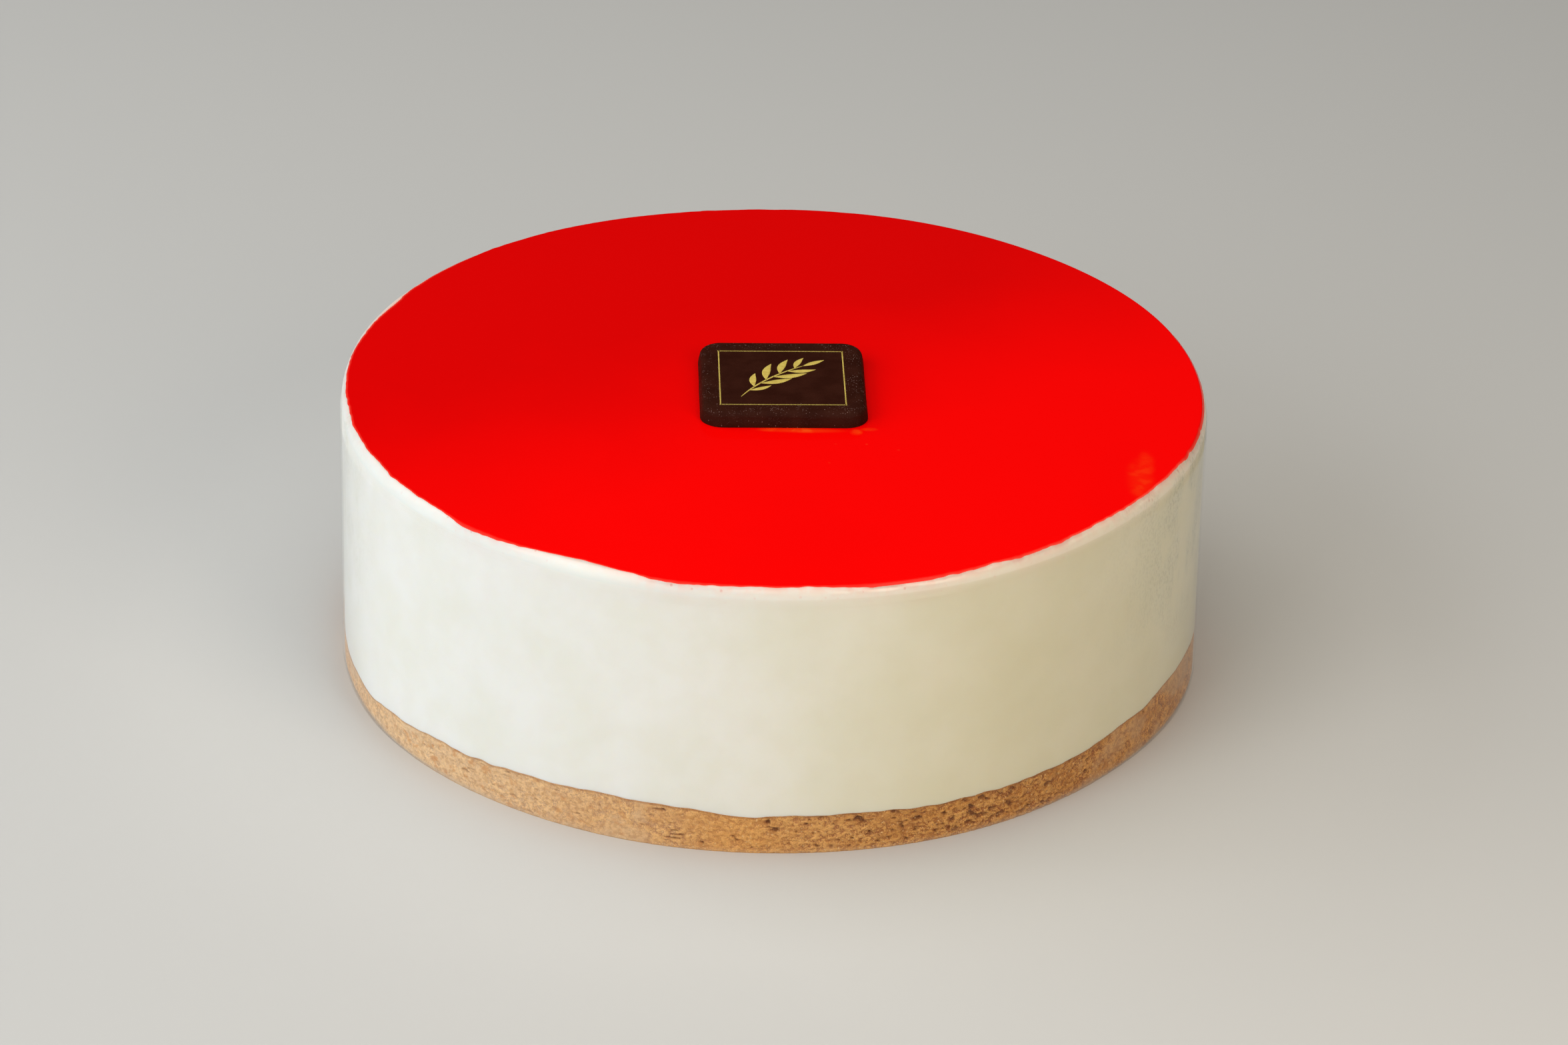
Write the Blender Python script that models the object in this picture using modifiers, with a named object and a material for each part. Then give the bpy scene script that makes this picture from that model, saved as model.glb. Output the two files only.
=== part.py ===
"""A round cheesecake, 20 cm across, wrapped in the strip of clear film that it was set in.

Metres, with +Z up. The cake stands on the flat bottom of its sponge at z = 0, and its axis is the Z axis.
From the bottom up it is a crumbly sponge layer, a tall cream cheese filling with a rounded top edge, a thin
red jelly that lies in the shallow dish of the filling's top, and a square chocolate plaque on the jelly.
Angles are measured from +X towards +Y.
"""

import math

import bmesh
import bpy
import numpy as np

# Driving sizes of the cake
CAKE_RADIUS = 0.1000
CAKE_HEIGHT = 0.0664
SPONGE_HEIGHT = 0.0094
TOP_EDGE_IN = 0.0018
TOP_EDGE_DOWN = 0.0032
JELLY_THICKNESS = 0.0024
DISH_RADIUS = 0.0987
DISH_SLOPE_START = 0.0900
GAP = 0.0003

# The plaque
PLAQUE_SIDE = 0.0385
PLAQUE_THICKNESS = 0.0034
PLAQUE_CORNER = 0.0050
PLAQUE_EDGE = 0.0015
PLAQUE_DRAFT = 0.0003
PLAQUE_CENTRE = (0.0023, -0.0024)
PLAQUE_TURN = math.radians(1.6)

# The film
FILM_THICKNESS = 0.0002
FILM_BOTTOM = 0.0005
FILM_SEAM = math.radians(8.0)
FILM_OVERLAP = math.radians(8.0)
FILM_RAMP = math.radians(14.0)

# Slow lobes that keep the side from being a true circle: waves round the cake, height and phase of each
SIDE_LOBES = ((3, 0.00035, 0.7), (5, 0.00022, 2.1), (8, 0.00014, 4.0))

# Where the sponge swells up or sinks: middle in degrees, height, and half width in degrees
SPONGE_SWELLS = (
    (-165, -0.0034, 24),
    (-110, 0.0015, 10),
    (-60, -0.0006, 7),
    (-20, 0.0030, 18),
    (62, -0.0009, 22),
    (118, 0.0011, 26),
)
SPONGE_RIPPLES = ((17, 0.00022, 0.4), (29, 0.00016, 1.9))

# Where the filling creeps in over the jelly's edge: middle in degrees, how far, and half width in degrees
JELLY_BAYS = ((-113, 0.0016, 7), (-168, 0.0003, 10), (150, 0.0006, 9))

# Where the rim round the jelly is narrower: middle in degrees, share of its width lost, and half width in degrees
RIM_NARROWS = ((46, 0.72, 34),)

# Mesh fineness
STEPS = 144
SPONGE_STEPS = 288
SPONGE_ROWS = 6
SIDE_ROWS = 4
ARC_STEPS = 5
FILM_STEPS = 150

# Pores of the sponge's side
PORE_COUNT = 420
PORE_SEED = 11
PORE_HALF_WIDTH = (0.0013, 0.0036)
PORE_HALF_HEIGHT = (0.0007, 0.0014)
PORE_DEPTH = (0.0004, 0.0012)


def linear(red, green, blue):
    """A shader colour from a colour as it looks on screen, each part from 0 to 255."""
    parts = np.array((red, green, blue)) / 255
    return (*np.where(parts <= 0.04045, parts / 12.92, ((parts + 0.055) / 1.055) ** 2.4), 1.0)


def material(name, colour, roughness, alpha=1.0):
    """A Principled material with one colour."""
    made = bpy.data.materials.new(name)
    made.use_nodes = True
    shader = made.node_tree.nodes["Principled BSDF"]
    shader.inputs["Base Color"].default_value = linear(*colour)
    shader.inputs["Roughness"].default_value = roughness
    shader.inputs["Metallic"].default_value = 0.0
    shader.inputs["Alpha"].default_value = alpha
    return made


def degrees_apart(angle, middle):
    """How far each angle lies from a middle given in degrees, the short way round, in degrees."""
    return (np.degrees(angle) - middle + 180) % 360 - 180


def swells(angle, places):
    """The sum of bell-shaped swells round the cake, each a middle, a height and a half width."""
    return sum(height * np.exp(-((degrees_apart(angle, middle) / width) ** 2)) for middle, height, width in places)


def waves(angle, parts):
    """The sum of sine waves round the cake, each a count, a height and a phase."""
    return sum(height * np.sin(count * angle + phase) for count, height, phase in parts)


def side_radius(angle):
    """The radius of the cake's side at an angle."""
    return CAKE_RADIUS + waves(angle, SIDE_LOBES)


def sponge_rise(angle, radius):
    """How far the sponge's top lies above its mean height, fading to nothing at the cake's middle."""
    at_side = swells(angle, SPONGE_SWELLS) + waves(angle, SPONGE_RIPPLES)
    return at_side * (radius / CAKE_RADIUS) ** 2


def turned(name, profile, steps):
    """An object whose profile of (radius, height) points goes once round the Z axis."""
    mesh = bpy.data.meshes.new(name)
    points = [(radius, 0.0, height) for radius, height in profile]
    mesh.from_pydata(points, [(i, i + 1) for i in range(len(points) - 1)], [])
    guide = bpy.data.objects.new(name + "_profile", mesh)
    parts.objects.link(guide)
    screw = guide.modifiers.new("Turn", "SCREW")
    screw.steps = screw.render_steps = steps
    screw.use_merge_vertices = True
    screw.merge_threshold = 0.00001
    graph = bpy.context.evaluated_depsgraph_get()
    whole = bpy.data.meshes.new_from_object(guide.evaluated_get(graph))
    bpy.data.objects.remove(guide)
    form = bmesh.new()
    form.from_mesh(whole)
    bmesh.ops.remove_doubles(form, verts=form.verts, dist=0.00001)
    bmesh.ops.recalc_face_normals(form, faces=form.faces)
    form.to_mesh(whole)
    form.free()
    whole.name = name
    return place(name, whole)


def place(name, mesh):
    """An object for a mesh, in the cake's collection and shaded smooth between its sharp edges."""
    made = bpy.data.objects.new(name, mesh)
    parts.objects.link(made)
    mesh.shade_smooth()
    mesh.set_sharp_from_angle(angle=math.radians(35))
    return made


def reshape(made, rule):
    """Moves the points of a turned object by a rule that is given their angle, radius and height."""
    mesh = made.data
    points = np.empty(len(mesh.vertices) * 3)
    mesh.vertices.foreach_get("co", points)
    x, y, height = points.reshape(-1, 3).T
    angle = np.arctan2(y, x)
    radius, height = rule(angle, np.hypot(x, y), height)
    moved = np.column_stack((radius * np.cos(angle), radius * np.sin(angle), height))
    mesh.vertices.foreach_set("co", moved.ravel())
    mesh.update()


def pores(angle, height):
    """How deep the sponge's pores are at each point: lens-shaped hollows, wider than tall, spread by chance."""
    chance = np.random.default_rng(PORE_SEED)
    depth = np.zeros_like(angle)
    for _ in range(PORE_COUNT):
        middle = chance.uniform(-180, 180)
        level = chance.uniform(0.0, SPONGE_HEIGHT)
        half_width = chance.uniform(*PORE_HALF_WIDTH)
        half_height = chance.uniform(*PORE_HALF_HEIGHT)
        deepest = chance.uniform(*PORE_DEPTH)
        across = np.radians(degrees_apart(angle, middle)) * CAKE_RADIUS / half_width
        up = (height - level) / half_height
        depth = np.maximum(depth, deepest * np.clip(1 - across**2 - up**2, 0, 1))
    return depth


def sponge_rule(angle, radius, height):
    """The sponge's top follows its swells, and its side is pitted above the flat bottom face."""
    rise = sponge_rise(angle, radius)
    pitted = np.where((radius > 0.99 * CAKE_RADIUS) & (height > 0), pores(angle, height), 0.0)
    lifted = height * (1 + rise / SPONGE_HEIGHT)
    return radius * side_radius(angle) / CAKE_RADIUS - pitted, lifted


def sponge_base():
    """The sponge layer: a disc with rows of points up its side."""
    side = [(CAKE_RADIUS, SPONGE_HEIGHT * row / SPONGE_ROWS) for row in range(SPONGE_ROWS, -1, -1)]
    made = turned("sponge_base", [(0, SPONGE_HEIGHT), *side, (0, 0)], SPONGE_STEPS)
    reshape(made, sponge_rule)
    made.data.materials.append(material("sponge", (190, 134, 72), 0.85))


def near_lip(radius):
    """How much of the lip's shift a point in the dish takes: nothing inside the slope, and all at the lip."""
    return np.clip((radius - DISH_SLOPE_START) / (DISH_RADIUS - DISH_SLOPE_START), 0, 1)


def bay(angle, radius):
    """How far a point near the jelly's edge is drawn in."""
    return swells(angle, JELLY_BAYS) * near_lip(radius)


def widening(angle, radius):
    """How far a point of the dish, the jelly or the rim moves out where the rim is narrower."""
    rim = CAKE_RADIUS - DISH_RADIUS
    from_side = np.clip((CAKE_RADIUS - radius) / rim, 0, 1)
    return swells(angle, RIM_NARROWS) * rim * near_lip(radius) * from_side


def top_edge():
    """The rounded top edge as a quarter of an ellipse, from the dish's lip out and down to the side."""
    centre = CAKE_RADIUS - TOP_EDGE_IN
    first = math.asin((DISH_RADIUS - centre) / TOP_EDGE_IN)
    turns = np.linspace(first, math.pi / 2, ARC_STEPS + 1)
    radii = centre + TOP_EDGE_IN * np.sin(turns)
    heights = CAKE_HEIGHT - TOP_EDGE_DOWN * (1 - np.cos(turns))
    return list(zip(radii.tolist(), heights.tolist()))


def filling_rule(angle, radius, height):
    """The filling's underside follows the sponge, and the dish's wall goes in and out with the jelly's edge."""
    underside = SPONGE_HEIGHT + GAP
    shoulder = CAKE_HEIGHT - TOP_EDGE_DOWN
    follows = np.clip((shoulder - height) / (shoulder - underside), 0, 1)
    lifted = height + sponge_rise(angle, radius) * follows
    in_dish = (height > shoulder - TOP_EDGE_DOWN) & (radius < DISH_RADIUS + 0.00001)
    drawn_in = np.where(in_dish, bay(angle, radius), 0.0)
    pushed_out = np.where(height > underside + GAP, widening(angle, radius), 0.0)
    return radius * side_radius(angle) / CAKE_RADIUS - drawn_in + pushed_out, lifted


def cream_filling():
    """The cream cheese filling: a tall disc with a rounded top edge and a shallow dish in its top."""
    floor = CAKE_HEIGHT - JELLY_THICKNESS - GAP
    underside = SPONGE_HEIGHT + GAP
    arc = top_edge()
    shoulder = arc[-1][1]
    rows = np.linspace(shoulder, underside, SIDE_ROWS + 1)[1:]
    side = [(CAKE_RADIUS, float(height)) for height in rows]
    made = turned("cream_filling", [(0, floor), (DISH_RADIUS, floor), *arc, *side, (0, underside)], STEPS)
    reshape(made, filling_rule)
    made.data.materials.append(material("cream", (234, 224, 198), 0.5))


def jelly_rule(angle, radius, height):
    """The jelly keeps the dish's outline."""
    return radius * side_radius(angle) / CAKE_RADIUS - bay(angle, radius) + widening(angle, radius), height


def jelly_top():
    """The jelly: a thin disc whose upper edge is rounded down to the dish's lip."""
    edge = DISH_RADIUS - GAP
    bottom = CAKE_HEIGHT - JELLY_THICKNESS
    drop = CAKE_HEIGHT - top_edge()[0][1]
    upper = [(0, CAKE_HEIGHT), (edge - 0.0016, CAKE_HEIGHT), (edge - 0.0006, CAKE_HEIGHT - drop * 0.35)]
    made = turned("jelly_top", [*upper, (edge, CAKE_HEIGHT - drop * 1.6), (edge, bottom), (0, bottom)], STEPS)
    reshape(made, jelly_rule)
    made.data.materials.append(material("jelly", (205, 6, 4), 0.12))


def chocolate_plaque():
    """The plaque: a block with four rounded corners, slightly narrower at its softened top edge."""
    form = bmesh.new()
    bmesh.ops.create_cube(form, size=1)
    bmesh.ops.scale(form, vec=(PLAQUE_SIDE, PLAQUE_SIDE, PLAQUE_THICKNESS), verts=form.verts)
    for vertex in form.verts:
        if vertex.co.z > 0:
            vertex.co.xy *= 1 - 2 * PLAQUE_DRAFT / PLAQUE_SIDE
    uprights = [edge for edge in form.edges if abs(edge.verts[0].co.z - edge.verts[1].co.z) > PLAQUE_THICKNESS / 2]
    bmesh.ops.bevel(form, geom=uprights, offset=PLAQUE_CORNER, segments=6, profile=0.5, affect="EDGES")
    rim = [edge for edge in form.edges if all(vertex.co.z > 0 for vertex in edge.verts) and not edge.is_wire]
    rim = [edge for edge in rim if any(abs(face.normal.z) < 0.5 for face in edge.link_faces)]
    bmesh.ops.bevel(form, geom=rim, offset=PLAQUE_EDGE, segments=3, profile=0.5, affect="EDGES")
    mesh = bpy.data.meshes.new("chocolate_plaque")
    form.to_mesh(mesh)
    form.free()
    made = place("chocolate_plaque", mesh)
    made.location = (*PLAQUE_CENTRE, CAKE_HEIGHT + GAP + PLAQUE_THICKNESS / 2)
    made.rotation_euler.z = PLAQUE_TURN
    mesh.materials.append(material("chocolate", (48, 24, 15), 0.35))


def acetate_band():
    """The film: a line round the cake that steps outside its own start, drawn up and given its thickness."""
    turn = np.linspace(0, 2 * math.pi + FILM_OVERLAP, FILM_STEPS)
    ramp = np.clip((turn - 2 * math.pi + FILM_RAMP) / FILM_RAMP, 0, 1)
    step_out = (FILM_THICKNESS + GAP) * ramp * ramp * (3 - 2 * ramp)
    angle = FILM_SEAM + turn
    radius = side_radius(angle) + GAP + step_out
    points = np.column_stack((radius * np.cos(angle), radius * np.sin(angle), np.full_like(angle, FILM_BOTTOM)))
    mesh = bpy.data.meshes.new("acetate_band")
    mesh.from_pydata(points.tolist(), [(i, i + 1) for i in range(FILM_STEPS - 1)], [])
    made = place("acetate_band", mesh)
    draw_up = made.modifiers.new("Draw up", "SCREW")
    draw_up.angle = 0
    draw_up.screw_offset = CAKE_HEIGHT - TOP_EDGE_DOWN - FILM_BOTTOM
    draw_up.steps = draw_up.render_steps = 1
    wall = made.modifiers.new("Wall", "SOLIDIFY")
    wall.thickness = FILM_THICKNESS
    wall.offset = 1
    mesh.materials.append(material("film", (245, 247, 248), 0.08, alpha=0.12))


for old in list(bpy.data.objects):
    bpy.data.objects.remove(old)
parts = bpy.data.collections.new("cheesecake")
bpy.context.scene.collection.children.link(parts)

sponge_base()
cream_filling()
jelly_top()
chocolate_plaque()
acetate_band()
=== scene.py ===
# %% [markdown]
# # A cheesecake in its ring of clear film
# This notebook dresses a plain solid model of a cheesecake: sponge, cream cheese filling, red jelly, a
# chocolate plaque and the strip of film round the side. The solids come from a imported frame, in metres with
# +Z up, and stay where they are. Each visible surface is worked out here as a function on a grid of points,
# so that a reader can follow how a formula becomes a crumb, a rounded edge or a leaf of gold print.

# %% Load the frame
import math

import bpy
import numpy as np
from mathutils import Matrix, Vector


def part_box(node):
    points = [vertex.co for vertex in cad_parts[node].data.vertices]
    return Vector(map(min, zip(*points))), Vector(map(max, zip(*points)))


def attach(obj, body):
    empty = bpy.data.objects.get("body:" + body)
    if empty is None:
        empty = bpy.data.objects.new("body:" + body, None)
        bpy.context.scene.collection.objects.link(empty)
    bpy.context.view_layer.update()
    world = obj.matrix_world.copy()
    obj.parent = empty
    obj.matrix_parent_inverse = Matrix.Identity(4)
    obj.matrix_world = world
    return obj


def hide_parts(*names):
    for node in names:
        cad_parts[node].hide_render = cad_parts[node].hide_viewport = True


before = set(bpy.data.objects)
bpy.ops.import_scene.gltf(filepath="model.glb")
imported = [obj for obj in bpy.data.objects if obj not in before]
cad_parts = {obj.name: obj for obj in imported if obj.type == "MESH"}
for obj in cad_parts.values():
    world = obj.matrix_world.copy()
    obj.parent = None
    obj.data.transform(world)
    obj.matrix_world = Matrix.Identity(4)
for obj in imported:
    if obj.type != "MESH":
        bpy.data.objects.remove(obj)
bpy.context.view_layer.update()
print("nodes:", sorted(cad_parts))

# %% [markdown]
# ## The camera
# The picture was taken from about a metre and a half away with a long lens, looking down by 27 degrees, so
# the top shows as a flat ellipse and the sides lean in only slightly. A camera could be placed by hand and
# turned until it looks right, but here its place follows from where it aims, how far off it is, and three
# turns. The picture is 2352 by 1568 pixels, and the lens is given for a sensor 36 mm wide.

# %% Place the camera
LENS = 146.2
SENSOR = 36
VIEW_DOWN = math.radians(27.33)
VIEW_TURN = 0.0095
VIEW_ROLL = 0.0221
VIEW_DISTANCE = 1.487
VIEW_AIM = np.array((0.00337, -0.00101, 0.03147))

forward = np.array(
    (
        math.sin(VIEW_TURN) * math.cos(VIEW_DOWN),
        math.cos(VIEW_TURN) * math.cos(VIEW_DOWN),
        -math.sin(VIEW_DOWN),
    )
)
level = np.array((math.cos(VIEW_TURN), -math.sin(VIEW_TURN), 0))
upright = np.cross(level, forward)
right = level * math.cos(VIEW_ROLL) + upright * math.sin(VIEW_ROLL)
up = upright * math.cos(VIEW_ROLL) - level * math.sin(VIEW_ROLL)
pose = np.eye(4)
pose[:3, 0], pose[:3, 1], pose[:3, 2] = right, up, -forward
pose[:3, 3] = VIEW_AIM - forward * VIEW_DISTANCE

camera_data = bpy.data.cameras.new("camera")
camera_data.lens = LENS
camera_data.sensor_width = SENSOR
camera_data.clip_start = 0.01
camera = bpy.data.objects.new("camera", camera_data)
bpy.context.scene.collection.objects.link(camera)
camera.matrix_world = pose.T.tolist()
bpy.context.scene.camera = camera
bpy.context.scene.view_settings.view_transform = "Standard"
print("camera at", pose[:3, 3].round(3))

# %% [markdown]
# ## Tools for making surfaces
# Everything on this cake is one of two kinds of surface. A layer goes all the way round, so it is a set of
# rings that begins and ends in a single point in the middle. A film or a patch of print is a sheet with two
# faces and a thin edge. Both are made from whole arrays of points, which is quick, and both are closed, so
# that they are real solids with an inside.

# %% Faces of a grid
def grid_faces(rows, columns, wrap=False):
    """Quads of a grid stored row by row: a point, the one a row on, and their two right neighbours."""
    row = np.arange(rows - 1)[:, None]
    column = np.arange(columns if wrap else columns - 1)[None, :]
    beside = (column + 1) % columns
    here, below = row * columns, (row + 1) * columns
    corners = (here + column, below + column, below + beside, here + beside)
    return np.stack(corners, axis=-1).reshape(-1, 4)


# %% Faces of closed rings
def ring_faces(rows, columns):
    """Faces of rings stored row by row; a fan to each of the two points after them closes the ends."""
    here = np.arange(columns)
    beside = (here + 1) % columns
    last = (rows - 1) * columns
    top_point, under_point = rows * columns, rows * columns + 1
    top_fan = np.stack((np.full(columns, top_point), here, beside), axis=-1)
    under_fan = np.stack((last + here, np.full(columns, under_point), last + beside), axis=-1)
    return grid_faces(rows, columns, wrap=True).tolist() + top_fan.tolist() + under_fan.tolist()


# %% Put arrays into a mesh
def mesh_piece(name, points, faces, values=None):
    """A smooth-shaded object at the origin from points and faces, with named values on its points."""
    mesh = bpy.data.meshes.new(name)
    mesh.from_pydata(points.tolist(), [], faces if isinstance(faces, list) else faces.tolist())
    for label, numbers in (values or {}).items():
        layer = mesh.attributes.new(label, "FLOAT", "POINT")
        layer.data.foreach_set("value", np.ascontiguousarray(numbers, np.float32).ravel())
    mesh.shade_smooth()
    piece = bpy.data.objects.new(name, mesh)
    bpy.context.scene.collection.objects.link(piece)
    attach(piece, "root")
    print(f"{name}: {len(mesh.vertices)} points, {len(mesh.polygons)} faces")
    return piece


# %% A layer that goes all the way round
def round_piece(name, radius, height, angle, values):
    """A closed layer from rings of points.

    Row j of radius and height is one ring, from the middle of the top, out over the edge, down the side and
    in again under the bottom. A point is (radius cos angle, radius sin angle, height), and one point on the
    axis closes each end with a fan.
    """
    rings = np.stack((radius * np.cos(angle), radius * np.sin(angle), height), axis=-1).reshape(-1, 3)
    ends = np.array(((0, 0, height[0].mean()), (0, 0, height[-1].mean())))
    padded = {label: np.append(numbers.ravel(), (0, 0)) for label, numbers in values.items()}
    return mesh_piece(name, np.vstack((rings, ends)), ring_faces(*radius.shape), padded)


# %% A sheet with two faces
def sheet_arrays(outer, inner, first=0):
    """Points and faces of a closed sheet: the outer grid, the inner one turned over, and the edge."""
    rows, columns = outer.shape[:2]
    count = rows * columns
    index = np.arange(count).reshape(rows, columns)
    rim = np.concatenate((index[0, :-1], index[:-1, -1], index[-1, :0:-1], index[:0:-1, 0]))
    onward = np.roll(rim, -1)
    edge = np.stack((rim, onward, onward + count, rim + count), axis=-1)
    face = grid_faces(rows, columns)
    faces = np.vstack((face, face[:, ::-1] + count, edge)) + first
    return np.vstack((outer.reshape(-1, 3), inner.reshape(-1, 3))), faces


# %% [markdown]
# ## Chance that closes on itself
# Crumbs, ripples and ragged lines look real when they are irregular but all of one size. White noise blurred
# by a bell curve gives that: the blur's width is the size of the lumps. A Fourier transform does the blur in
# one step and joins the end of the strip to its start, so no seam shows where the ring closes. Each use has
# its own seed, so the cake comes out the same every time.

# %% Noise on a ring
CAKE_RADIUS = 0.1000


def ring_noise(rows, columns, row_step, along, upward, seed):
    """Noise of mean 0 and spread 1 on a strip round the cake.

    Random numbers are blurred by the bell curve exp(-2 (pi f s)^2) in each direction, where f is cycles a
    metre and s the lump's size, along the strip and upward. Twice the rows are made and half are kept, so
    that top and bottom differ.
    """
    chance = np.random.default_rng(seed).standard_normal((2 * rows, columns))
    column_step = 2 * math.pi * CAKE_RADIUS / columns
    across = np.fft.fftfreq(columns, column_step)[None, :]
    up_down = np.fft.fftfreq(2 * rows, row_step)[:, None]
    blur = np.exp(-2 * (math.pi * across * along) ** 2 - 2 * (math.pi * up_down * upward) ** 2)
    blurred = np.fft.ifft2(np.fft.fft2(chance) * blur).real[:rows]
    return (blurred - blurred.mean()) / blurred.std()


def ramp(value, low, high):
    """0 below low, 1 above high and a smooth S between, also where high is the smaller."""
    share = np.clip((value - low) / (high - low), 0, 1)
    return share * share * (3 - 2 * share)


# %% [markdown]
# ## The cake's own lines
# The side isn't a true circle, because the film gives a little. The line between sponge and filling swells
# and sinks, and the filling creeps over the jelly's edge in a few places. These are the slow curves that the
# solids have, with a few more at the jelly's edge: bell-shaped swells and sine waves round the cake, added
# up. Angles run from +X towards +Y, so the camera faces the side at -90 degrees. The solids leave a gap of
# 0.3 mm between neighbours.

# %% The slow curves
GAP = 0.0003
SIDE_LOBES = ((3, 0.00035, 0.7), (5, 0.00022, 2.1), (8, 0.00014, 4.0))
SPONGE_HEIGHT = 0.0094
SPONGE_SWELLS = (
    (-165, -0.0034, 24),
    (-110, 0.0015, 10),
    (-60, -0.0006, 7),
    (-20, 0.0030, 18),
    (62, -0.0009, 22),
    (118, 0.0011, 26),
)
SPONGE_RIPPLES = ((17, 0.00022, 0.4), (29, 0.00016, 1.9))
RIM_WIDTH = 0.0018
RIM_NARROWS = ((46, 0.0013, 34),)
JELLY_SWELLS = (
    (-150, -0.0006, 16),
    (-132, 0.0005, 4),
    (-115, -0.0017, 7),
    (-74, 0.0003, 9),
    (-40, -0.0003, 9),
    (0, 0.0004, 18),
    (154, -0.0006, 10),
)


def degrees_apart(angle, middle):
    """How far each angle lies from a middle given in degrees, the short way round, in degrees."""
    return (np.degrees(angle) - middle + 180) % 360 - 180


def swells(angle, places):
    """Sum of height exp(-(distance / half width)^2) over places of (middle, height, half width)."""
    return sum(
        height * np.exp(-((degrees_apart(angle, middle) / width) ** 2)) for middle, height, width in places
    )


def waves(angle, parts):
    """Sum of height times sin(count angle + phase) over the parts."""
    return sum(height * np.sin(count * angle + phase) for count, height, phase in parts)


def side_radius(angle):
    """The cake's radius at an angle: a circle and its slow lobes."""
    return CAKE_RADIUS + waves(angle, SIDE_LOBES)


def rim_width(angle):
    """How far in from the side the top edge starts to bend down: less at the back."""
    return RIM_WIDTH - swells(angle, RIM_NARROWS)


# %% The ragged lines
LINE_COLUMNS = 3000
FINE_LINE = ((0.00010, 0.0012, 21), (0.00008, 0.0034, 22))
JELLY_LINE = ((0.00005, 0.0006, 23), (0.00010, 0.0022, 24), (0.00012, 0.0090, 25))
line_angle = np.linspace(-math.pi, math.pi, LINE_COLUMNS, endpoint=False)


def ragged(parts):
    """A line of values round the cake: height times noise, added up over parts of (height, size, seed)."""
    return sum(height * ring_noise(1, LINE_COLUMNS, 1, size, 0, seed)[0] for height, size, seed in parts)


def from_line(line, angle):
    """A line of values round the cake read at any angles, straight between its points."""
    return np.interp(angle, line_angle, line, period=2 * math.pi)


fine_line = ragged(FINE_LINE)
jelly_line = ragged(JELLY_LINE)


def sponge_top(angle):
    """Height of the line between sponge and filling at the side."""
    slow = swells(angle, SPONGE_SWELLS) + waves(angle, SPONGE_RIPPLES)
    return SPONGE_HEIGHT + slow + from_line(fine_line, angle)


line_in_mm = 1000 * sponge_top(line_angle)
print("line between the layers:", line_in_mm.min().round(1), "to", line_in_mm.max().round(1), "mm")

# %% [markdown]
# ## The sponge
# A baked sponge cut by the ring shows its crumb: dark pores a millimetre or two long, many of them drawn out
# sideways, between flakes that the film presses flat. Pores could be cut one by one or left to a bump map,
# but a bump doesn't darken a hole or break its outline. Here three layers of noise of different sizes are
# cut off below a level, so only their peaks become hollows, and the wall is moved inwards by that depth.
# Where the film sticks to moist crumb the pores fill in, so broad patches of the wall are smoother, and their
# colour gets a painted haze of the film's reflection. A noise is given by its lump's size along the wall and
# upward, and its seed.

# %% A grid on the sponge's wall
SPONGE_COLUMNS = 1800
SPONGE_ROWS = 50
angle = np.linspace(0, 2 * math.pi, SPONGE_COLUMNS, endpoint=False)
line = sponge_top(angle)
wall_height = np.linspace(1, 0, SPONGE_ROWS)[:, None] * line
row_step = SPONGE_HEIGHT / (SPONGE_ROWS - 1)
print("rows of the sponge's wall:", round(1000 * row_step, 2), "mm apart")


def sponge_noise(along, upward, seed):
    """Noise on the sponge's wall with lumps of the given size."""
    return ring_noise(SPONGE_ROWS, SPONGE_COLUMNS, row_step, along, upward, seed)


# %% Where the sponge is moist, pale or golden
BROAD_PATCH = (0.0060, 0.0030, 31)
SMALL_PATCH = (0.0016, 0.0010, 32)
MOIST_PLACES = ((-158, 0.9, 26), (-106, 0.7, 7), (-84, -1.2, 9), (-31, 1.4, 11), (75, 0.6, 30))
PALE_PLACES = ((-140, 1.0, 42),)
GOLDEN_PLACES = ((-94, 1.0, 7),)
damp = 0.7 * sponge_noise(*BROAD_PATCH) + 0.5 * sponge_noise(*SMALL_PATCH) + swells(angle, MOIST_PLACES)
moist = ramp(damp, 0.7, 1.9)
pale = np.broadcast_to(swells(angle, PALE_PLACES), moist.shape)
golden = np.broadcast_to(swells(angle, GOLDEN_PLACES), moist.shape)
print("moist share of the wall:", moist.mean().round(2))

# %% Pores and grain
PIT = (0.00038, 0.00028, 33)
CRACK = (0.00090, 0.00018, 34)
HOLLOW = (0.00058, 0.00042, 35)
FINE_GRAIN = (0.00022, 0.00020, 36)
COARSE_GRAIN = (0.00055, 0.00040, 37)
PORE_PLACES = ((-60, 1.0, 24), (-122, -0.8, 34))
SMOOTH_FOOT = (0.0002, 0.0010)
more_pores = swells(angle, PORE_PLACES)
pit = ramp(sponge_noise(*PIT) + more_pores, 1.9, 2.8)
crack = ramp(sponge_noise(*CRACK), 1.8, 3.0)
hollow = ramp(sponge_noise(*HOLLOW) + more_pores, 2.1, 2.9)
grain = ramp(sponge_noise(*FINE_GRAIN) + 0.4 * sponge_noise(*COARSE_GRAIN), -1.8, 1.8)
pore = np.clip(0.8 * pit + 0.7 * crack + hollow, 0, 1)
pore *= (1 - 0.85 * moist) * ramp(wall_height, *SMOOTH_FOOT)
print("share of the wall in pores:", (pore > 0.5).mean().round(3))

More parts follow.
